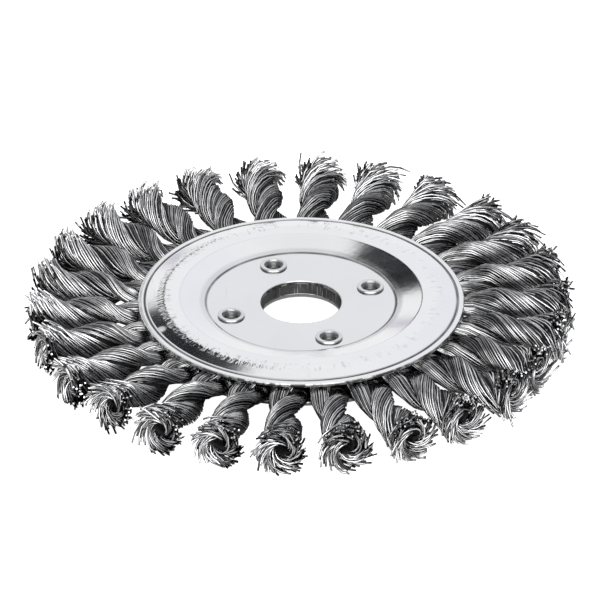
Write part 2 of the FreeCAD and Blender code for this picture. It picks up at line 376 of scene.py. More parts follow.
def leg_places(count):
    """Places of a leg's wires in a unit disc, in rings of 1, 6, 12, 18 and so on, as a strand is laid.

    The rings are evenly spaced, with part of a spacing left outside the last one, and each is turned a little
    further than the one inside it.
    """
    spare, stagger = 0.35, 0.4
    ring = np.zeros(1, dtype=int)
    while len(ring) < count:
        number = ring[-1] + 1
        ring = np.append(ring, np.full(6 * number, number))
    ring = ring[:count]
    place = np.arange(count) - (1 + 3 * ring * (ring - 1))
    radius = ring / (ring.max() + spare)
    angle = np.where(ring > 0, 2 * np.pi * place / np.maximum(6 * ring, 1) + stagger * ring, 0.0)
    return radius * np.cos(angle), radius * np.sin(angle)


def twist(radius):
    """Turn of the first leg about the knot's middle line, in radians.

    It is a given angle at the rim and grows evenly along the radius, at one rate between the plates and at
    another outside them.
    """
    x = radius - RIM_R
    return np.radians(RIM_TWIST + np.where(x < 0, INNER_TWIST_RATE, OUTER_TWIST_RATE) * x)


def spin_lag(radius):
    """How far a leg's own wires lag behind the twist, in radians, so that they leave the plates straight.

    The lag is the integral of (1 - s) times the twist rate from x to the end of the straight run past the
    rim, where s is the S-curve of x over that run. The integral of 1 - 3t^2 + 2t^3 is t - t^3 + t^4 / 2.
    """
    t = np.clip((radius - RIM_R) / STRAIGHT_RUN, 0.0, 1.0)
    outside = np.radians(OUTER_TWIST_RATE) * STRAIGHT_RUN * (0.5 - (t - t**3 + t**4 / 2))
    return outside + np.radians(INNER_TWIST_RATE) * np.maximum(RIM_R - radius, 0)


def bundle_size(radius):
    """Radius of a leg, and its distance from the knot's middle line."""
    at = (RIM_R, 50.0, 57.0, 62.0, 68.0)
    strand = np.interp(radius, at, (2.75, 2.85, 3.5, 3.85, 4.3))
    offset = np.interp(radius, at, (2.5, 2.25, 1.5, 1.25, 1.0))
    return strand, offset


def leg_section(a, b, radius):
    """Unit disc places carried into the leg's section: a circle cut off flat where it meets the other leg.

    The place is first turned by the spin's lag. Then (a, b) goes to the height b on the circle, and across
    between the flat and the arc in the same share as in the disc.
    """
    half_gap = 0.28
    lag = spin_lag(radius)
    a, b = a * np.cos(lag) - b * np.sin(lag), a * np.sin(lag) + b * np.cos(lag)
    strand, offset = bundle_size(radius)
    y = strand * b
    half_chord = np.sqrt(np.maximum(strand**2 - y**2, 0))
    right = offset + half_chord
    left = np.maximum(half_gap, offset - half_chord)
    share = (a / np.sqrt(np.maximum(1 - b**2, 1e-4)) + 1) / 2
    return left + (right - left) * share, y, strand, offset


def wander(rng, shape, stations, size):
    """Smooth random drift along each wire: random values at a few marks, blended by S-curves.

    The stations run from 0 to 1, and the last of them stays just short of the last mark.
    """
    marks = 6
    values = rng.normal(0, size, shape + (marks, 2))
    at = stations * (marks - 1.001)
    first = np.floor(at).astype(int)
    share = smooth(at - first)[..., None]
    low = np.take_along_axis(values, first[..., None], axis=-2)
    high = np.take_along_axis(values, first[..., None] + 1, axis=-2)
    return low * (1 - share) + high * share


def straight_lines(a, b, leg):
    """Wires from between the plates to the flare: still in a section that turns with the twist.

    The section is pressed flat near the plates and stays clear of the neighbouring knots: its height and
    width are scaled down to the room for them, less a margin.
    """
    margin_up, margin_across = 0.3, 0.45
    u = np.linspace(WIRES_FROM_R, FLARE_R, LINE_POINTS)[None, None, :]
    x, y, strand, offset = leg_section(a[..., None], b[..., None], u)
    angle = twist(u) + leg[..., None]
    across = x * np.cos(angle) - y * np.sin(angle)
    up = x * np.sin(angle) + y * np.cos(angle)
    half_up = np.interp(u, PRESSED_AT, (3.2, 2.2, 2.12, 2.3, 2.9, 4.6, 6.0)) - margin_up
    half_across = np.pi * u / len(KNOTS) - margin_across
    reach_up = offset * np.abs(np.sin(angle)) + strand
    reach_across = offset * np.abs(np.cos(angle)) + strand
    up = up * np.minimum(1, half_up / reach_up)
    across = across * np.minimum(1, half_across / reach_across)
    return np.stack([np.broadcast_to(u, across.shape), across, up], axis=-1)


def bow(way):
    """How far a knot that leans with slope 1 has moved to the side: an S-curve of the way past the flare."""
    furthest, over = 12.0, 14.0
    return furthest * smooth(way / over)


def flared_lines(settings, rng, a, b, leg, tip_shift, lean):
    """Wires from the flare to where they are cut, as running sums along a slope psi from the middle line.

    The slope turns from along the knot to a final angle, early and gently for outer wires, late and sharply
    for inner ones, which end up lying across the tip. The turn about the middle line goes on at k over the
    distance from it to the power 1.75, which makes the pinwheel.
    """
    # Millimetres: the way looked at, the way over which a wire comes loose, how far it may stand past the
    # face, and the half thickness from which its height is held back
    longest, loosening, past_face, half_thickness = 21.0, 9.0, 3.4, 6.1
    # Millimetres: where the eye starts to open, over what way, and the least distance that the swirl reads
    eye_from, eye_over, innermost = 3.0, 6.0, 0.9
    # Millimetres: where an outer wire starts to bend, and the way over which an inner and an outer one do
    outer_start, inner_width, outer_width = 1.5, 2.6, 11.5
    # Degrees: the final slope of an inner wire, less for an outer one and for a stray one, and its spread
    steepest, outer_ease, stray_ease, slope_spread = 84.0, 46.0, 6.0, 9.0

    # Place about the middle line where the flare starts, and rank from the innermost wire to the outermost
    shape = a.shape
    x0, y0, strand, offset = leg_section(a, b, np.array(FLARE_R))
    turn0 = leg + np.arctan2(y0, x0)
    rho0 = np.hypot(x0, y0)
    rank = np.clip(rho0 / (strand + offset), 0, 1) ** 1.6

    # How far each wire goes, and its slope on the way
    q = rank[..., None]
    stray = (rng.random(shape) < settings.stray_share)[..., None]
    reach = settings.tip_radius / MM + 0.25 * q + rng.normal(0, 0.55, shape)[..., None]
    longer = stray * rng.uniform(0.3, 2.4, shape)[..., None]
    reach = reach + 0.5 * longer
    way = longest * np.linspace(0, 1, LINE_POINTS)[None, None, :]
    step = longest / (LINE_POINTS - 1)
    face = settings.tip_depth / MM + tip_shift[..., None]
    bend_start = face * (1 - q) + outer_start * q
    bend_width = inner_width * (1 - q) + outer_width * q
    final = steepest - outer_ease * q**0.8 + rng.normal(0, slope_spread, shape)[..., None]
    final = np.radians(final - stray * stray_ease)
    psi = final * smooth((way - bend_start) / bend_width)

    # Its place along the knot, away from the middle line and round it
    along = FLARE_R + np.cumsum(np.cos(psi), axis=-1) * step - step
    eye = settings.eye_radius / MM
    rho = np.sqrt(rho0[..., None] ** 2 + eye**2 * smooth((way - eye_from) / eye_over))
    rho = rho + np.cumsum(np.sin(psi), axis=-1) * step
    swirl = settings.swirl * rng.normal(1.15, 0.3, shape)[..., None]
    rate = (1 - np.sin(psi)) * math.radians(OUTER_TWIST_RATE)
    rate = rate + np.sin(psi) * swirl / np.maximum(rho, innermost) ** 1.75
    turn = twist(np.array(FLARE_R)) + turn0[..., None] + np.cumsum(rate, axis=-1) * step - rate * step

    # Small drift, and the lean of the whole end, kept within the wheel's thickness
    stations = np.broadcast_to(np.linspace(0, 1, LINE_POINTS), shape + (LINE_POINTS,))
    drift = wander(rng, shape, stations, 0.3) * smooth(way / loosening)[..., None]
    across, up = rho * np.cos(turn) + drift[..., 0], rho * np.sin(turn) + drift[..., 1]
    side, rise = lean[:, 0, None, None], lean[:, 1, None, None]
    tilted = along - (side * across + rise * up) * smooth(way / loosening)
    flared = np.stack([tilted, across + side * bow(way), up + rise * bow(way)], axis=-1)
    height = np.abs(flared[..., 2])
    beyond = np.maximum(height - half_thickness, 0)
    flared[..., 2] = np.sign(flared[..., 2]) * np.minimum(height, half_thickness + 0.25 * beyond)

    # Cut where it is past its reach or past the face: the last point stands for the rest
    past = (rho > reach) | (along > FLARE_R + face + past_face + longer)
    end = np.where(past.any(axis=-1), past.argmax(axis=-1), LINE_POINTS - 1)
    keep = np.minimum(np.arange(LINE_POINTS)[None, None, :], end[..., None])
    return np.take_along_axis(flared, keep[..., None], axis=2)


def wire_lines(settings, rng, count):
    """Middle lines of all wires of all knots, in each knot's own frame: along, across and up, in millimetres.

    With them go how far each knot's tip is shifted along, and how much it leans across and up, as slopes.
    """
    spread, outermost = 0.03, 0.97
    a, b = leg_places(settings.wires_per_leg)
    shape = (count, 2 * len(a))
    leg = np.repeat([0.0, np.pi], len(a))[None, :]
    a = np.tile(a, 2)[None, :] + rng.normal(0, spread, shape)
    b = np.tile(b, 2)[None, :] + rng.normal(0, spread, shape)
    length = np.hypot(a, b)
    shrink = np.where(length > outermost, outermost / length, 1.0)
    a, b = a * shrink, b * shrink
    tip_shift = rng.normal(0, settings.tip_spread / MM, (count, 1))
    lean = rng.normal(0, settings.tip_lean, (count, 2))
    straight = straight_lines(a, b, leg)
    flared = flared_lines(settings, rng, a, b, leg, tip_shift, lean)
    return np.concatenate([straight[:, :, :-1], flared], axis=2), tip_shift[:, 0], lean


def thin_out(lines, stations, rng):
    """Each line read at a few places, closer together where it bends, shifted a little from wire to wire.

    The places are equal steps of a measure: the length over a unit length, in millimetres, plus the angle
    turned over a unit turn, in radians.
    """
    unit_length, unit_turn = 7.0, 0.5
    chords = np.diff(lines, axis=2)
    length = np.linalg.norm(chords, axis=-1)
    ahead = unit(chords)
    bend = np.arccos(np.clip((ahead[:, :, 1:] * ahead[:, :, :-1]).sum(axis=-1), -1, 1))
    moving = (length[:, :, 1:] > 1e-6) & (length[:, :, :-1] > 1e-6)
    bend = np.concatenate([np.zeros(length.shape[:2] + (1,)), bend * moving], axis=-1)
    measure = np.cumsum(length / unit_length + bend / unit_turn, axis=-1)
    measure = np.concatenate([np.zeros(length.shape[:2] + (1,)), measure], axis=-1)
    share = np.linspace(0, 1, stations)
    shift = rng.uniform(-0.45, 0.45, length.shape[:2] + (1,)) / (stations - 1)
    share = share[None, None, :] + shift * np.sin(np.pi * share)[None, None, :]
    want = (share * measure[..., -1:]).reshape(-1, stations)
    known = measure.reshape(-1, measure.shape[-1])
    index = np.arange(lines.shape[2], dtype=float)
    at = np.stack([np.interp(wanted, steps, index) for wanted, steps in zip(want, known)])
    first = np.minimum(at.astype(int), lines.shape[2] - 2)
    part = (at - first)[..., None]
    flat = lines.reshape(-1, lines.shape[2], 3)
    rows = np.arange(len(flat))[:, None]
    found = flat[rows, first] * (1 - part) + flat[rows, first + 1] * part
    return found.reshape(lines.shape[:2] + (stations, 3))


def wire_tubes(lines, diameter, sides, rng):
    """Tubes round the lines: points (knot, wire, station, side, xyz).

    The tangent is the difference of the neighbouring points. The first cross direction is the one round the
    knot's middle line, made square to the tangent, and the second is their product.
    """
    tangent = unit(np.gradient(lines, axis=2))
    radial = lines.copy()
    radial[..., 0] = 0
    radial = unit(radial)
    round_knot = np.stack([np.zeros_like(radial[..., 0]), -radial[..., 2], radial[..., 1]], axis=-1)
    first = unit(round_knot - tangent * (round_knot * tangent).sum(axis=-1, keepdims=True))
    second = np.cross(tangent, first)
    spin = 2 * np.pi * np.arange(sides) / sides + rng.uniform(0, 2 * np.pi, lines.shape[:2] + (1, 1))
    cosine, sine = np.cos(spin)[..., None], np.sin(spin)[..., None]
    thickness = diameter / 2 * rng.uniform(0.94, 1.06, lines.shape[:2] + (1, 1, 1))
    return lines[..., None, :] + thickness * (first[..., None, :] * cosine + second[..., None, :] * sine)


def tube_quads(wires, stations):
    """Quads of many four-sided tubes whose points follow each other, and which of them are the end faces."""
    sides = WIRE_SIDES
    ends = np.array([np.arange(sides), np.arange(sides)[::-1] + (stations - 1) * sides])
    one = np.vstack([grid_faces(stations, sides, False, True), ends])
    flat = np.zeros(len(one), dtype=bool)
    flat[-2:] = True
    shift = np.arange(wires)[:, None, None] * stations * sides
    return (one[None] + shift).reshape(-1, 4), np.tile(flat, wires)


def heart_points(sides, tip_shift, lean):
    """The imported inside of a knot: the bundle a little smaller than its wires, hollow at the tip, and closed.

    Each row is the outline of two overlapping circles, the reach r(t) = o |cos t| + sqrt(R^2 - o^2 sin^2 t),
    turned by the twist. The last rows turn in over the tip and back down the hole to its floor. The whole
    leans to the side as the wires do.
    """
    shift_from, shift_over = 57.0, 12.0
    u = np.array(
        [40.0, 40.2, GROOVE_R, RIM_R, 47.0, 49.5, 52.0, 54.5]
        + [57.0, 59.5, 62.0, 64.5, 66.5, 68.5, 70.2, 71.0]
    )
    scale = np.array(
        [0.0, 0.72, 0.74, 0.76, 0.78, 0.8, 0.82, 0.82]
        + [0.82, 0.82, 0.83, 0.84, 0.84, 0.86, 0.88, 0.6]
    )
    t = 2 * np.pi * np.arange(sides)[None, :] / sides
    strand, offset = (size[:, None] for size in bundle_size(u))
    reach = offset * np.abs(np.cos(t)) + np.sqrt(strand**2 - (offset * np.sin(t)) ** 2)
    reach = reach * scale[:, None]
    angle = twist(u)[:, None] + t
    across, up = reach * np.cos(angle), reach * np.sin(angle)
    half_up = np.interp(u, PRESSED_AT, (2.9, 1.8, 1.7, 1.8, 2.3, 3.9, 6.0))[:, None]
    up = up * np.minimum(1, half_up / np.maximum(np.abs(up).max(axis=1, keepdims=True), 1e-6))
    body = np.stack([np.broadcast_to(u[:, None], across.shape), across, up], axis=-1)
    body[..., 0] += tip_shift * smooth((body[..., 0] - shift_from) / shift_over)
    hole_u = np.array([71.0, 70.0, 66.0, 66.0]) + tip_shift
    hole_r = np.array([2.2, 1.8, 1.6, 0.0])[:, None]
    hole_angle = twist(u[-1]) + t
    hole = np.stack(
        [
            np.repeat(hole_u[:, None], sides, axis=1),
            hole_r * np.cos(hole_angle),
            hole_r * np.sin(hole_angle),
        ],
        axis=-1,
    )
    heart = np.concatenate([body, hole])
    heart[..., 1:] += bow(heart[..., :1] - FLARE_R) * lean
    return heart


def loop_points(sides):
    """The bundle between the plates: an oval carried from one leg through the loop hole into the other.

    The path runs in above the core disc, turns down through the hole on a half circle and runs out below.
    The oval's width follows the room between the neighbours, and its thickness the room under the plate.
    Each row holds the distance from the axis, the height, half the width and half the thickness.
    """
    leg = np.array(
        [
            (41.5, 1.15, 0.0, 0.0),
            (41.5, 1.15, 4.6, 1.0),
            (39.0, 1.7, 4.5, 1.0),
            (36.0, 2.5, 4.1, 0.95),
            (33.5, 2.6, 3.8, 0.85),
        ]
    )
    fold_r, fold_reach, fold_rise = LOOP_R - 0.2, 0.9, 2.45
    half_turn = np.linspace(math.pi / 2, 3 * math.pi / 2, 9)
    fold = np.stack(
        [
            fold_r + fold_reach * np.cos(half_turn),
            fold_rise * np.sin(half_turn),
            [3.3, 2.9, 2.5, 2.3, 2.2, 2.3, 2.5, 2.9, 3.3],
            [0.85, 1.1, 1.5, 1.8, 1.9, 1.8, 1.5, 1.1, 0.85],
        ],
        axis=-1,
    )
    rows = np.vstack([leg, fold, leg[::-1] * (1, -1, 1, 1)])
    ahead = unit(np.gradient(rows[:, :2], axis=0) + np.array([1e-6, 0]))
    t = 2 * np.pi * np.arange(sides)[None, :] / sides
    lift = rows[:, 3:] * np.sin(t)
    along = rows[:, :1] - ahead[:, 1:] * lift
    up = rows[:, 1:2] + ahead[:, :1] * lift
    return np.stack([along, rows[:, 2:3] * np.cos(t), up], axis=-1)


def turn_about_axis(points, angle):
    """Points turned round the wheel's axis by an angle in radians."""
    cosine, sine = math.cos(angle), math.sin(angle)
    turned = points.copy()
    turned[..., 0] = points[..., 0] * cosine - points[..., 1] * sine
    turned[..., 1] = points[..., 0] * sine + points[..., 1] * cosine
    return turned


def knot_direction(index):
    """Direction of a knot round the wheel, in radians."""
    return math.radians(FIRST_KNOT_ANGLE + index * KNOT_STEP)


# Materials

def feed(tree, socket, value):
    """Give an input its value: a link where that is another node's output, and otherwise the value itself."""
    if isinstance(value, bpy.types.NodeSocket):
        tree.links.new(value, socket)
    else:
        socket.default_value = value


def add_node(tree, kind, **values):
    """Node of a kind with its properties set, and its inputs fed by name where the name is no property."""
    node = tree.nodes.new(kind)
    for name, value in values.items():
        if hasattr(node, name):
            setattr(node, name, value)
        else:
            feed(tree, node.inputs[name.replace("_", " ")], value)
    return node


def joined(tree, operation, *values):
    """Result of a Math node whose inputs are sockets or numbers."""
    node = add_node(tree, "ShaderNodeMath", operation=operation)
    for socket, value in zip(node.inputs, values):
        feed(tree, socket, value)
    return node.outputs[0]


def vector_node(tree, operation, *values):
    """Vector Math node whose inputs are sockets or vectors."""
    node = add_node(tree, "ShaderNodeVectorMath", operation=operation)
    for socket, value in zip(node.inputs, values):
        feed(tree, socket, value)
    return node


def ramp(tree, source, low, high, at_low, at_high, kind="LINEAR"):
    """Source between at_low and at_high turned into a number between low and high."""
    node = add_node(tree, "ShaderNodeMapRange", interpolation_type=kind, Value=source)
    for label, value in (("From Min", at_low), ("From Max", at_high), ("To Min", low), ("To Max", high)):
        feed(tree, node.inputs[label], value)
    return node.outputs["Result"]


def mixed_colour(tree, share, low, high):
    """Colour between two others, each a colour or a socket, by a share."""
    node = add_node(tree, "ShaderNodeMix", data_type="RGBA")
    feed(tree, node.inputs[0], share)
    for socket, colour in ((node.inputs[6], low), (node.inputs[7], high)):
        feed(tree, socket, colour if isinstance(colour, bpy.types.NodeSocket) else (*colour, 1.0))
    return node.outputs[2]


def object_place(tree):
    """A point's place, on Object coordinates."""
    return tree.nodes.new("ShaderNodeTexCoord").outputs["Object"]


def part_of(tree, vector, axis):
    """One of a vector's three parts, X, Y or Z."""
    return add_node(tree, "ShaderNodeSeparateXYZ", Vector=vector).outputs[axis]


def radius_of(group):
    """A point's distance from the wheel's axis, and its place with the height taken out."""
    flat = vector_node(group, "MULTIPLY", object_place(group), (1.0, 1.0, 0.0)).outputs["Vector"]
    return vector_node(group, "LENGTH", flat).outputs["Value"], flat


def new_group(name, inputs, outputs):
    """Empty shader group and its two end nodes. Each input is a number or a vector, by its value."""
    group = bpy.data.node_groups.new(name, "ShaderNodeTree")
    for label, value in inputs.items():
        kind = "NodeSocketVector" if isinstance(value, tuple) else "NodeSocketFloat"
        group.interface.new_socket(label, in_out="INPUT", socket_type=kind).default_value = value
    for label in outputs:
        group.interface.new_socket(label, in_out="OUTPUT", socket_type="NodeSocketFloat")
    return group, group.nodes.new("NodeGroupInput"), group.nodes.new("NodeGroupOutput")


def grain_group():
    """Fine even grain and slow cloudiness: the speckle of plated or rolled steel."""
    scales = {"Fine scale": 2600.0, "Cloud scale": 60.0}
    group, start, end = new_group("Steel grain", scales, ("Fine", "Cloud"))
    place = object_place(group)
    for label, detail, roughness in (("Fine", 3.0, 0.65), ("Cloud", 4.0, 0.55)):
        noise = add_node(group, "ShaderNodeTexNoise", Vector=place, Detail=detail, Roughness=roughness)
        feed(group, noise.inputs["Scale"], start.outputs[label + " scale"])
        feed(group, end.inputs[label], noise.outputs["Fac"])
    return group


def scratch_group():
    """Short straight scratches: noise stretched along one direction, kept where it peaks."""
    inputs = {"Stretch": (500.0, 25.0, 25.0), "Turn": (0.0, 0.0, 0.6), "Threshold": 0.66}
    group, start, end = new_group("Handling scratches", inputs, ("Mask",))
    stretch, turn, threshold = (start.outputs[label] for label in inputs)
    mapping = add_node(group, "ShaderNodeMapping", Vector=object_place(group), Rotation=turn, Scale=stretch)
    noise = add_node(group, "ShaderNodeTexNoise", Vector=mapping.outputs["Vector"], Scale=1.0, Detail=2.0)
    full = joined(group, "ADD", threshold, 0.08)
    mask = ramp(group, noise.outputs["Fac"], 0.0, 1.0, threshold, full, "SMOOTHSTEP")
    feed(group, end.inputs["Mask"], mask)
    return group


def ring_group():
    """Mask of a thin ring round the axis: one at its radius, falling on an S-curve to nought at its width."""
    group, start, end = new_group("Ring line", {"Radius": 0.026, "Width": 0.0005}, ("Mask",))
    difference = joined(group, "SUBTRACT", radius_of(group)[0], start.outputs["Radius"])
    away = joined(group, "ABSOLUTE", difference)
    mask = ramp(group, away, 1.0, 0.0, 0.0, start.outputs["Width"], "SMOOTHSTEP")
    feed(group, end.inputs["Mask"], mask)
    return group


def streak_group():
    """Streaks left by the press, running outwards: noise read at the direction from the axis times a count.

    The radius is added as height, times a rate, so that the streaks change slowly along themselves. They are
    kept between two radii, each with a soft edge.
    """
    inputs = {"Count": 32.0, "Rate": 320.0, "Inner": 0.0352, "Outer": 0.0389}
    soft_edge = 0.0012
    group, start, end = new_group("Press streaks", inputs, ("Height",))
    radius, flat = radius_of(group)
    spread = vector_node(group, "SCALE", vector_node(group, "NORMALIZE", flat).outputs["Vector"])
    feed(group, spread.inputs["Scale"], start.outputs["Count"])
    height = joined(group, "MULTIPLY", radius, start.outputs["Rate"])
    rise = add_node(group, "ShaderNodeCombineXYZ", Z=height)
    place = vector_node(group, "ADD", spread.outputs["Vector"], rise.outputs["Vector"]).outputs["Vector"]
    noise = add_node(group, "ShaderNodeTexNoise", Vector=place, Scale=1.0, Detail=2.5, Roughness=0.6)
    kept = joined(group, "SUBTRACT", noise.outputs["Fac"], 0.5)
    for label, low, high in (("Inner", 0.0, 1.0), ("Outer", 1.0, 0.0)):
        edge = start.outputs[label]
        past = joined(group, "ADD", edge, soft_edge)
        kept = joined(group, "MULTIPLY", kept, ramp(group, radius, low, high, edge, past, "SMOOTHSTEP"))
    feed(group, end.inputs["Height"], kept)
    return group


# What most of a noise's values lie between
GRAIN_RANGE = (0.3, 0.7)

SHARED_GROUPS = {
    "Steel grain": grain_group,
    "Handling scratches": scratch_group,
    "Ring line": ring_group,
    "Press streaks": streak_group,
}


def place_group(tree, name, **values):
    """A shared group, made once, placed in a material with its own values."""
    group = bpy.data.node_groups.get(name) or SHARED_GROUPS[name]()
    return add_node(tree, "ShaderNodeGroup", node_tree=group, **values)


def new_material(name, fine_scale, cloud_scale, metallic=1.0):
    """Material, its tree, its Principled shader and the steel grain placed in it."""
    material = bpy.data.materials.new(name)
    material.use_nodes = True
    tree = material.node_tree
    shader = tree.nodes["Principled BSDF"]
    shader.inputs["Metallic"].default_value = metallic
    grain = place_group(tree, "Steel grain", Fine_scale=fine_scale, Cloud_scale=cloud_scale)
    return material, tree, shader, grain


def add_bump(tree, shader, height, strength, distance):
    """Bump node fed by a height, on the shader's normal."""
    bump = add_node(tree, "ShaderNodeBump", Strength=strength, Distance=distance, Height=height)
    feed(tree, shader.inputs["Normal"], bump.outputs["Normal"])


def add_finish(tree, shader, colour, fine, smoothest, roughest, strength, distance):
    """Colour on the shader, with a roughness and a bump that follow the fine grain."""
    feed(tree, shader.inputs["Base Color"], colour)
    feed(tree, shader.inputs["Roughness"], ramp(tree, fine, smoothest, roughest, *GRAIN_RANGE))
    add_bump(tree, shader, fine, strength, distance)


def shaded_crease_rings(settings):
    """Creases painted darker, as painted shade with grime: radius and half width in metres, and how dark each
    is.
    """
    return (
        (0.0262, 0.0006, settings.crease_dirt_and_shade * 1.25),
        (0.0272, 0.0013, settings.crease_dirt_and_shade * 0.3),
        (0.0334, 0.0004, settings.crease_dirt_and_shade * 0.12),
        (0.043, 0.0006, settings.crease_dirt_and_shade * 1.6),
    )


def plate_dirt_and_shade(tree, settings, place, cloud, marks):
    """Darkening on the plate: painted shade with grime in patches in its creases, painted shade over the
    recess, and dark hatching in the marks.
    """
    creases = 0.0
    for radius, width, weight in shaded_crease_rings(settings):
        line = place_group(tree, "Ring line", Radius=radius, Width=width).outputs["Mask"]
        creases = joined(tree, "ADD", joined(tree, "MULTIPLY", line, weight), creases)
    patchy = ramp(tree, cloud, 0.55, 1.1, 0.35, 0.65)
    hatched = joined(tree, "MULTIPLY", ramp(tree, marks, 0.0, 1.0, 0.03, 0.22), 0.5)
    from_middle = vector_node(tree, "LENGTH", place).outputs["Value"]
    # Painted shade over the recessed middle, added to the dark hatching in the marks
    recess_shade_and_hatching = joined(tree, "ADD", ramp(tree, from_middle, 0.09, 0.0, 0.0256, 0.0268), hatched)
    soiled_and_shaded = joined(tree, "ADD", joined(tree, "MULTIPLY", creases, patchy), recess_shade_and_hatching)
    return joined(tree, "MINIMUM", soiled_and_shaded, 1.0)


def zinc_material(settings):
    """Bright plated sheet: near-mirror metal with crystals, slow clouds, scratches, and painted shade with
    grime in its creases.

    The marks of the press are heavier on one side, and one round spot on the rise is dull.
    """
    dirt_and_shade_colour = (0.09, 0.09, 0.1)
    dull_spot = (-0.0382, -0.0168, 0.0042)
    material, tree, shader, grain = new_material("zinc_plate", 2400.0, 55.0)
    fine, cloud = grain.outputs
    place = object_place(tree)

    # Colour: clouds of the plating under the painted shade and grime
    heavy = ramp(tree, part_of(tree, place, "X"), 1.0, 0.5, -0.028, -0.006)
    marks = joined(tree, "MULTIPLY", place_group(tree, "Press streaks").outputs["Height"], heavy)
    dirt_and_shade = plate_dirt_and_shade(tree, settings, place, cloud, marks)
    clean = mixed_colour(tree, cloud, settings.zinc_dark, settings.zinc_light)
    feed(tree, shader.inputs["Base Color"], mixed_colour(tree, dirt_and_shade, clean, dirt_and_shade_colour))

    # Roughness: duller in the clouds, on crystals and scratches, under the painted shade and grime and at the
    # spot
    base = ramp(tree, cloud, settings.zinc_roughness * 0.75, settings.zinc_roughness * 1.3, *GRAIN_RANGE)
    crystals = ramp(tree, fine, 0.0, 0.2, 0.64, 0.76)
    scratches = place_group(tree, "Handling scratches").outputs["Mask"]
    worn = joined(tree, "ADD", crystals, joined(tree, "MULTIPLY", scratches, 0.12))
    rough = joined(tree, "ADD", joined(tree, "ADD", base, worn), joined(tree, "MULTIPLY", dirt_and_shade, 0.3))
    away = vector_node(tree, "DISTANCE", place, dull_spot).outputs["Value"]
    dulled = joined(tree, "MAXIMUM", ramp(tree, away, 0.55, 0.0, 0.0002, 0.0022), rough)
    feed(tree, shader.inputs["Roughness"], dulled)

    # Height: the fine grain, the marks of the press and slow waves in the sheet
    waves = joined(tree, "MULTIPLY", cloud, 1.6)
    pressed = joined(tree, "ADD", joined(tree, "MULTIPLY", marks, 3.2), waves)
    height = joined(tree, "ADD", joined(tree, "MULTIPLY", fine, 0.05), pressed)
    add_bump(tree, shader, height, 1.0, 0.00006)
    return material


def sheared_material(settings):
    """Torn edge of a blanked sheet: dark, pitted metal with brighter drawn lines across it."""
    material, tree, shader, grain = new_material("sheared_edge", 1500.0, 420.0)
    fine, cloud = grain.outputs
    share = ramp(tree, cloud, 0.0, 1.0, 0.46, 0.58)
    colour = mixed_colour(tree, share, settings.core_dark, settings.core_light)
    add_finish(tree, shader, colour, fine, 0.28, 0.55, 0.6, 0.0002)
    return material


def cup_shade_material(settings):
    """Inside of a rivet's cup: dull metal with painted shade, darkest at its floor and as bright as the plating
    at its mouth.
    """
    material, tree, shader, grain = new_material("rivet_cup_shade", 1900.0, 400.0)
    height = part_of(tree, object_place(tree), "Z")
    # Painted shade: dark at the cup's floor, fading to the plating's colour towards its mouth
    painted_light_share = ramp(tree, height, 0.0, 1.0, (FACE_Z + 0.1) * MM, (FACE_Z + 1.3) * MM)
    colour = mixed_colour(tree, painted_light_share, settings.cup_shade_colour, settings.zinc_light)
    add_finish(tree, shader, colour, grain.outputs["Fine"], 0.3, 0.44, 0.3, 0.0001)
    return material


def core_material(settings):
    """Blanked steel disc: dark, rough metal with drawn lines from the punch down its walls."""
    material, tree, shader, grain = new_material("core_steel", 1500.0, 180.0)
    fine, cloud = grain.outputs
    upright = {"Stretch": (2600.0, 2600.0, 120.0), "Turn": (0.0, 0.0, 0.0), "Threshold": 0.6}
    lines = place_group(tree, "Handling scratches", **upright).outputs["Mask"]
    share = joined(tree, "MAXIMUM", lines, ramp(tree, cloud, 0.0, 0.35, 0.35, 0.7))
    colour = mixed_colour(tree, share, settings.core_dark, settings.core_light)
    add_finish(tree, shader, colour, fine, 0.3, 0.6, 0.5, 0.0002)
    return material


def rivet_material(settings):
    """Plated rivet: bright metal, a little duller than the sheet, grained where the punch rolled it."""
    material, tree, shader, grain = new_material("rivet_steel", 1900.0, 260.0)
    fine, cloud = grain.outputs
    colour = mixed_colour(tree, cloud, settings.rivet_dark, settings.rivet_light)
    add_finish(tree, shader, colour, fine, 0.16, 0.3, 0.25, 0.0001)
    return material


def wire_material(settings):
    """Bare drawn wire: each wire differs at random in lightness and carries painted light, with duller patches
    and painted shade at its edges.
    """
    material, tree, shader, grain = new_material("wire_steel", 3200.0, 300.0)
    fine, cloud = grain.outputs
    tone_and_light = add_node(tree, "ShaderNodeAttribute", attribute_name="wire_tone_and_light").outputs["Fac"]
    # Painted shade: each wire is darkened towards its edges, where its surface turns away from view
    facing = add_node(tree, "ShaderNodeLayerWeight", Blend=0.5).outputs["Facing"]
    share = joined(tree, "MULTIPLY", tone_and_light, ramp(tree, cloud, 0.7, 1.15, *GRAIN_RANGE))
    share = joined(tree, "MULTIPLY", share, ramp(tree, facing, 1.0, 0.0, 0.35, 0.9))
    colour = mixed_colour(tree, share, settings.wire_dark, settings.wire_light)
    add_finish(tree, shader, colour, fine, 0.1, 0.24, 0.2, 0.00008)
    return material


def heart_material():
    """Depth of the bundle, where hardly any light gets: nearly black, rough steel."""
    material, tree, shader, grain = new_material("wire_shadow", 1800.0, 500.0, metallic=0.6)
    shader.inputs["Roughness"].default_value = 0.7
    colour = mixed_colour(tree, grain.outputs["Fine"], (0.006, 0.006, 0.007), (0.03, 0.03, 0.032))
    feed(tree, shader.inputs["Base Color"], colour)
    return material


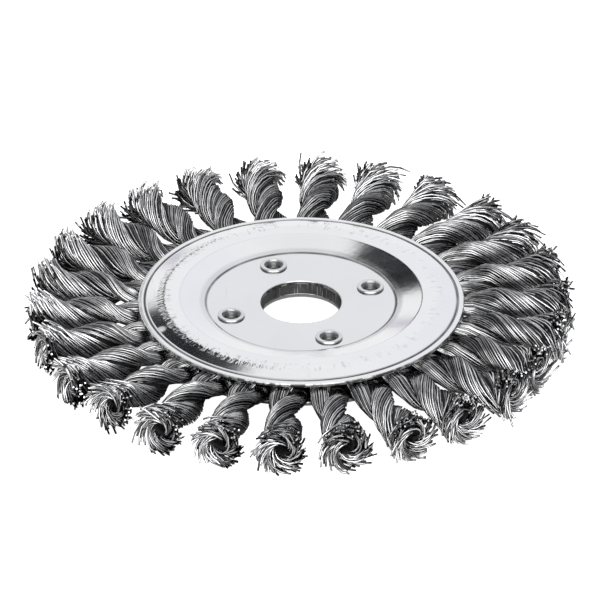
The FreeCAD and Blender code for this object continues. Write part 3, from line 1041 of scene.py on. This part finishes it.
def floor_material(colour):
    """Plain pale matt surface, lit from below like a light table where it is looked at directly.

    The metal sees it dim under the wheel and bright from a little outside it: a painted shadow in its glow.
    """
    material, tree, shader, grain = new_material("studio_floor", 300.0, 3.0, metallic=0.0)
    shader.inputs["Roughness"].default_value = 0.9
    darker = tuple(channel * 0.985 for channel in colour)
    seen = mixed_colour(tree, grain.outputs["Cloud"], darker, tuple(colour))
    direct = tree.nodes.new("ShaderNodeLightPath").outputs["Is Camera Ray"]
    feed(tree, shader.inputs["Base Color"], mixed_colour(tree, direct, (0.3, 0.3, 0.3), seen))
    away = vector_node(tree, "LENGTH", object_place(tree)).outputs["Value"]
    # Painted shadow: the glow that the metal sees rises from dim under the wheel to bright outside it
    painted_shadow_pool = ramp(tree, away, 0.01, 0.85, 0.077, 0.1)
    shader.inputs["Emission Color"].default_value = (1.0, 1.0, 1.0, 1.0)
    feed(tree, shader.inputs["Emission Strength"], joined(tree, "MAXIMUM", direct, painted_shadow_pool))
    return material


# The room that the metal sees. Round lights: direction, angles where the edge starts and ends, colour.
# They are the wall behind, two dim side walls, the wall's brighter and bluer part, the ceiling, a softbox
# high in front and a wide one low in front.
DARK_ROOM = (0.05, 0.05, 0.053)
ROUND_LIGHTS = (
    ((0.0, 0.857, 0.515), 56, 36, (0.99, 0.99, 0.995)),
    ((0.95, -0.3, 0.3), 58, 40, (0.32, 0.32, 0.33)),
    ((-0.95, -0.3, 0.3), 58, 40, (0.32, 0.32, 0.33)),
    ((0.42, 0.78, 0.46), 32, 8, (0.91, 0.925, 0.965)),
    ((0.0, 0.0, 1.0), 36, 22, (0.86, 0.86, 0.87)),
    ((0.1, -0.43, 0.9), 25, 16, (2.9, 2.9, 2.9)),
    ((0.0, -0.93, 0.36), 52, 22, (2.5, 2.5, 2.5)),
)

# Flags and a small reflector before the wall: sides and heights in degrees, softness of the edge, colour.
FLAGS = (
    ((-23.5, -10.5), (30.0, 54.5), 2.0, (0.015, 0.016, 0.02)),
    ((-10.5, -6.5), (18.0, 34.0), 1.2, (0.03, 0.031, 0.035)),
    ((-12.0, -8.0), (13.0, 17.0), 1.5, (0.60, 0.56, 0.65)),
)


def round_share(tree, place, direction, outer, inner):
    """Share of a round light: the dot product with its direction, between the cosines of its two angles."""
    dot = vector_node(tree, "DOT_PRODUCT", place, unit(np.array(direction))).outputs["Value"]
    outer, inner = math.cos(math.radians(outer)), math.cos(math.radians(inner))
    return ramp(tree, dot, 0.0, 1.0, outer, inner, "SMOOTHSTEP")


def band_share(tree, value, ends, soft):
    """One between two angles in degrees, falling on an S-curve at each, for a value in radians."""
    low, high, soft = (math.radians(angle) for angle in (*ends, soft))
    rise = ramp(tree, value, 0.0, 1.0, low - soft, low + soft, "SMOOTHSTEP")
    fall = ramp(tree, value, 1.0, 0.0, high - soft, high + soft, "SMOOTHSTEP")
    return joined(tree, "MULTIPLY", rise, fall)


def light_room(tree, background):
    """Dark room with what the metal sees in it: walls, ceiling, softboxes in front, and flags.

    A round light is a share between two angles from its direction. A flag is a share between two sides and
    two heights, worked out from the arc tangent and the arc sine.
    """
    place = tree.nodes.new("ShaderNodeTexCoord").outputs["Generated"]
    room = DARK_ROOM
    for direction, outer, inner, colour in ROUND_LIGHTS:
        room = mixed_colour(tree, round_share(tree, place, direction, outer, inner), room, colour)
    side = joined(tree, "ARCTAN2", part_of(tree, place, "X"), part_of(tree, place, "Y"))
    height = joined(tree, "ARCSINE", part_of(tree, place, "Z"))
    for sides, heights, soft, colour in FLAGS:
        across, upward = band_share(tree, side, sides, soft), band_share(tree, height, heights, soft)
        room = mixed_colour(tree, joined(tree, "MULTIPLY", across, upward), room, colour)
    feed(tree, background.inputs["Color"], room)


# Settings

class BrushPlateSettings(bpy.types.PropertyGroup):
    """Heights of the plate's bends and the rivet head."""

    crown_rise: bpy.props.FloatProperty(
        name="Raised ring",
        description="Height of the raised ring over the flat middle",
        default=0.00215,
        unit="LENGTH",
    )
    step_rise: bpy.props.FloatProperty(
        name="Step",
        description="Height of the small step round the flat middle",
        default=0.00028,
        unit="LENGTH",
    )
    groove_rise: bpy.props.FloatProperty(
        name="Groove", description="Height of the groove inside the rim", default=0.00078, unit="LENGTH"
    )
    rim_rise: bpy.props.FloatProperty(
        name="Rim", description="Height of the rim over the flat middle", default=0.00085, unit="LENGTH"
    )
    rim_rounding: bpy.props.FloatProperty(
        name="Rim rounding", description="Radius of the rim's two edges", default=0.00045, unit="LENGTH"
    )
    head_height: bpy.props.FloatProperty(
        name="Rivet head", description="Height of the rivet's rolled head", default=0.0006, unit="LENGTH"
    )
    cup_depth: bpy.props.FloatProperty(
        name="Rivet cup", description="Depth of the cup in the rivet's head", default=0.0019, unit="LENGTH"
    )
    dome_height: bpy.props.FloatProperty(
        name="Rivet dome", description="Height of the rivet's rear head", default=0.0009, unit="LENGTH"
    )


class BrushWireSettings(bpy.types.PropertyGroup):
    """Sizes of the wires and of the knots' open ends."""

    wire_diameter: bpy.props.FloatProperty(
        name="Wire diameter", description="Diameter of one wire", default=0.00061, unit="LENGTH"
    )
    wires_per_leg: bpy.props.IntProperty(
        name="Wires in a leg", description="Wires in each of a knot's two legs", default=61, min=7, max=91
    )
    tip_depth: bpy.props.FloatProperty(
        name="Tip depth",
        description="How far past the start of the flare the inner wires bend over",
        default=0.0108,
        unit="LENGTH",
    )
    tip_radius: bpy.props.FloatProperty(
        name="Tip radius", description="Radius at which the wires are cut", default=0.0064, unit="LENGTH"
    )
    swirl: bpy.props.FloatProperty(
        name="Swirl", description="Strength of the turn of the wires across the tip", default=4.0
    )
    eye_radius: bpy.props.FloatProperty(
        name="Eye radius",
        description="Radius of the hole in the middle of the tip",
        default=0.0019,
        unit="LENGTH",
    )
    tip_spread: bpy.props.FloatProperty(
        name="Tip spread", description="How much the knots differ in length", default=0.0005, unit="LENGTH"
    )
    tip_lean: bpy.props.FloatProperty(
        name="Tip lean", description="How far the knots' ends lean to a side, as a slope", default=0.045
    )
    stray_share: bpy.props.FloatProperty(
        name="Stray wires",
        description="Share of wires that stand out of the tip",
        default=0.07,
        subtype="FACTOR",
    )
    seed: bpy.props.IntProperty(name="Seed", description="Start of the random draws", default=11)


class BrushFinishSettings(bpy.types.PropertyGroup):
    """Colours of the metals."""

    zinc_light: bpy.props.FloatVectorProperty(
        name="Plate, light", description="Bright plating", default=(0.9, 0.902, 0.91), size=3, subtype="COLOR"
    )
    zinc_dark: bpy.props.FloatVectorProperty(
        name="Plate, dark",
        description="Duller clouds in the plating",
        default=(0.8, 0.805, 0.825),
        size=3,
        subtype="COLOR",
    )
    zinc_roughness: bpy.props.FloatProperty(
        name="Plate roughness", description="Blur of the plate's reflections", default=0.1, subtype="FACTOR"
    )
    # Strength of the painted shade and grime in the plate's bends
    crease_dirt_and_shade: bpy.props.FloatProperty(
        name="Crease dirt",
        description="How dark the plate's bends have become",
        default=0.75,
        subtype="FACTOR",
    )
    # Painted shade inside the rivets' cups
    cup_shade_colour: bpy.props.FloatVectorProperty(
        name="Rivet cup",
        description="Inside of the rivets' cups",
        default=(0.17, 0.17, 0.172),
        size=3,
        subtype="COLOR",
    )
    core_light: bpy.props.FloatVectorProperty(
        name="Core, light",
        description="Lines left by the punch",
        default=(0.8, 0.79, 0.78),
        size=3,
        subtype="COLOR",
    )
    core_dark: bpy.props.FloatVectorProperty(
        name="Core, dark", description="Blanked steel", default=(0.15, 0.148, 0.146), size=3, subtype="COLOR"
    )
    rivet_light: bpy.props.FloatVectorProperty(
        name="Rivet, light",
        description="Bright rivet plating",
        default=(0.8, 0.8, 0.81),
        size=3,
        subtype="COLOR",
    )
    rivet_dark: bpy.props.FloatVectorProperty(
        name="Rivet, dark",
        description="Dull rivet plating",
        default=(0.62, 0.62, 0.64),
        size=3,
        subtype="COLOR",
    )
    wire_light: bpy.props.FloatVectorProperty(
        name="Wire, light", description="Brightest wires", default=(0.9, 0.9, 0.91), size=3, subtype="COLOR"
    )
    wire_dark: bpy.props.FloatVectorProperty(
        name="Wire, dark", description="Darkest wires", default=(0.045, 0.045, 0.046), size=3, subtype="COLOR"
    )


class BrushStageSettings(bpy.types.PropertyGroup):
    """Floor, light and camera."""

    floor_colour: bpy.props.FloatVectorProperty(
        name="Floor", description="Colour of the floor", default=(0.93, 0.93, 0.93), size=3, subtype="COLOR"
    )
    sky_strength: bpy.props.FloatProperty(
        name="Room light", description="Strength of the light in the room", default=1.0
    )
    camera_distance: bpy.props.FloatProperty(
        name="Camera distance", description="Distance from the middle of the bore", default=2.0, unit="LENGTH"
    )
    camera_elevation: bpy.props.FloatProperty(
        name="Camera elevation", description="Angle above the wheel's plane", default=0.541, subtype="ANGLE"
    )
    camera_lens: bpy.props.FloatProperty(
        name="Lens", description="Focal length on a 36 mm sensor, in millimetres", default=436.0
    )


# Operators

class BRUSH_OT_plates(bpy.types.Operator):
    """Press the two face plates"""

    bl_idname = "brush.plates"
    bl_label = "Face plates"

    def execute(self, context):
        settings = context.scene.brush_plates
        finish = context.scene.brush_finish
        materials = (zinc_material(finish), sheared_material(finish))
        outline = plate_outline(settings)
        places = [axis_of(node) for node in RIVETS]
        for node in PLATES:
            side = np.array([1.0, 1.0 if node == "front_plate" else -1.0])
            points, quads = turned_solid(outline * side, (0.0, 0.0, 0.0), PLATE_SIDES)
            # Millimetres of the bore's wall that are smooth before the torn part
            mouth = 0.3 if node == "front_plate" else 0.85
            edges = np.repeat(sheared_rows(outline, mouth), PLATE_SIDES)
            mesh = make_mesh(node, points, quads, finish=edges)
            piece = add_piece("pressed_" + node, mesh, materials, "zinc_plate", node)
            bore_plates(piece, places)
        return {"FINISHED"}


class BRUSH_OT_core(bpy.types.Operator):
    """Finish the core disc between the plates"""

    bl_idname = "brush.core"
    bl_label = "Core disc"

    def execute(self, context):
        material = core_material(context.scene.brush_finish)
        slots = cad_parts["core_disc"].material_slots
        for slot in slots:
            slot.material = material
        if not slots:
            raise RuntimeError("the core disc has no material slot")
        return {"FINISHED"}


class BRUSH_OT_rivets(bpy.types.Operator):
    """Roll the four cupped rivets"""

    bl_idname = "brush.rivets"
    bl_label = "Rivets"

    def execute(self, context):
        finish = context.scene.brush_finish
        materials = (rivet_material(finish), cup_shade_material(finish))
        outline = rivet_outline(context.scene.brush_plates)
        # Painted shade: the cup and a band round the foot of the head take the dark cup material, the band as a
        # painted contact shadow
        foot_width, foot_height = 0.2, 0.34
        radius, height = ((outline[1:] + outline[:-1]) / 2).T
        cup = (radius < CUP_WALL_R) & (height > 0)
        foot = (radius > HEAD_R - foot_width) & (height > 0) & (height < FACE_Z + foot_height)
        dull = np.repeat(cup | foot, RIVET_SIDES)
        for node in RIVETS:
            centre = axis_of(node)
            centre[2] = 0.0
            points, quads = turned_solid(outline, centre, RIVET_SIDES, closed=False)
            mesh = make_mesh(node, points, quads, sharp=50.0, finish=dull)
            add_piece("rolled_" + node, mesh, materials, "rivet_steel", node)
        return {"FINISHED"}


class BRUSH_OT_knots(bpy.types.Operator):
    """Twist the wire knots"""

    bl_idname = "brush.knots"
    bl_label = "Wire knots"

    def execute(self, context):
        settings = context.scene.brush_wires
        rng = np.random.default_rng(settings.seed)
        lines, tip_shift, lean = wire_lines(settings, rng, len(KNOTS))
        lines = thin_out(lines, WIRE_STATIONS, rng)
        tubes = wire_tubes(lines, settings.wire_diameter / MM, WIRE_SIDES, rng)
        # Each wire differs at random in lightness; painted light makes it brighter in the flare, where the
        # wires come out into the light, and a painted highlight brighter at its cut end
        tones_and_light = 0.06 + 0.94 * rng.random(tubes.shape[:2]) ** 0.8
        along = np.repeat(np.linspace(0, 1, WIRE_STATIONS), WIRE_SIDES)
        bright = 0.85 + 0.75 * smooth((along - 0.55) / 0.25) + 0.45 * smooth((along - 0.93) / 0.07)
        tones_and_light = (tones_and_light[..., None] * bright).reshape(len(KNOTS), -1)
        wire_quads, ends = tube_quads(tubes.shape[1], WIRE_STATIONS)
        loop = loop_points(HEART_SIDES)
        materials = (wire_material(context.scene.brush_finish), heart_material())
        for index, node in enumerate(KNOTS):
            parts = [(tubes[index].reshape(-1, 3), wire_quads)]
            for grid in (heart_points(HEART_SIDES, tip_shift[index], lean[index]), loop):
                parts.append((grid.reshape(-1, 3), grid_faces(*grid.shape[:2], False, True)))
            points, quads = stacked(parts)
            points = turn_about_axis(points, knot_direction(index))
            inside = np.arange(len(quads)) >= len(wire_quads)
            flat = np.pad(ends, (0, len(quads) - len(ends)))
            tone_and_light = np.pad(tones_and_light[index], (0, len(points) - tones_and_light.shape[1]))
            mesh = make_mesh(node, points, quads, sharp=None, flat=flat, tones_and_light=tone_and_light, finish=inside)
            add_piece("wired_" + node, mesh, materials, "wire_steel", node)
        return {"FINISHED"}


class BRUSH_OT_stage(bpy.types.Operator):
    """Lay the floor, light the room and set the camera"""

    bl_idname = "brush.stage"
    bl_label = "Stage"

    def execute(self, context):
        settings = context.scene.brush_stage
        half, gap = 3000.0, 0.05
        points = np.array([(-half, -half, 0.0), (half, -half, 0.0), (half, half, 0.0), (-half, half, 0.0)])
        points[:, 2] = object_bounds()[0].z / MM - gap
        mesh = make_mesh("floor", points, np.array([[0, 1, 2, 3]]), sharp=None)
        floor = bpy.data.objects.new("floor", mesh)
        context.scene.collection.objects.link(floor)
        floor.data.materials.append(floor_material(settings.floor_colour))
        floor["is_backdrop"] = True

        world = bpy.data.worlds.new("studio")
        context.scene.world = world
        world.use_nodes = True
        tree = world.node_tree
        background = tree.nodes["Background"]
        background.inputs["Strength"].default_value = settings.sky_strength
        light_room(tree, background)

        camera = bpy.data.objects.new("camera", bpy.data.cameras.new("camera"))
        context.scene.collection.objects.link(camera)
        elevation = settings.camera_elevation
        outwards = Vector((0.0, -math.cos(elevation), math.sin(elevation)))
        camera.location = outwards * settings.camera_distance
        camera.rotation_euler = (-outwards).to_track_quat("-Z", "Y").to_euler()
        camera.data.sensor_width = 36.0
        camera.data.lens = settings.camera_lens
        # Only as much shift as the photograph's framing needs
        camera.data.shift_x = -0.0017
        camera.data.shift_y = 0.0163
        camera.data.clip_start = 0.1
        camera.data.clip_end = 20.0
        context.scene.camera = camera
        context.scene.view_settings.view_transform = "Standard"
        return {"FINISHED"}


class BRUSH_PT_panel(bpy.types.Panel):
    """Buttons and sizes of the brush"""

    bl_idname = "BRUSH_PT_panel"
    bl_label = "Wire wheel brush"
    bl_space_type = "VIEW_3D"
    bl_region_type = "UI"
    bl_category = "Brush"

    def draw(self, context):
        for group in SETTINGS:
            settings = getattr(context.scene, group)
            box = self.layout.box()
            for name in settings.__annotations__:
                box.prop(settings, name)
        for operator in OPERATORS:
            self.layout.operator(operator.bl_idname)


SETTINGS = {
    "brush_plates": BrushPlateSettings,
    "brush_wires": BrushWireSettings,
    "brush_finish": BrushFinishSettings,
    "brush_stage": BrushStageSettings,
}
OPERATORS = (BRUSH_OT_plates, BRUSH_OT_core, BRUSH_OT_rivets, BRUSH_OT_knots, BRUSH_OT_stage)
CLASSES = (*SETTINGS.values(), *OPERATORS, BRUSH_PT_panel)


def register():
    """Add the classes and the scene's settings."""
    for item in CLASSES:
        bpy.utils.register_class(item)
    for name, group in SETTINGS.items():
        setattr(bpy.types.Scene, name, bpy.props.PointerProperty(type=group))


def unregister():
    """Take the settings and the classes away."""
    for name in SETTINGS:
        delattr(bpy.types.Scene, name)
    for item in reversed(CLASSES):
        bpy.utils.unregister_class(item)


def main():
    """Build every piece."""
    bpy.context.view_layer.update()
    register()
    bpy.ops.brush.plates()
    bpy.ops.brush.core()
    bpy.ops.brush.rivets()
    bpy.ops.brush.knots()
    bpy.ops.brush.stage()


if __name__ == "__main__":
    main()
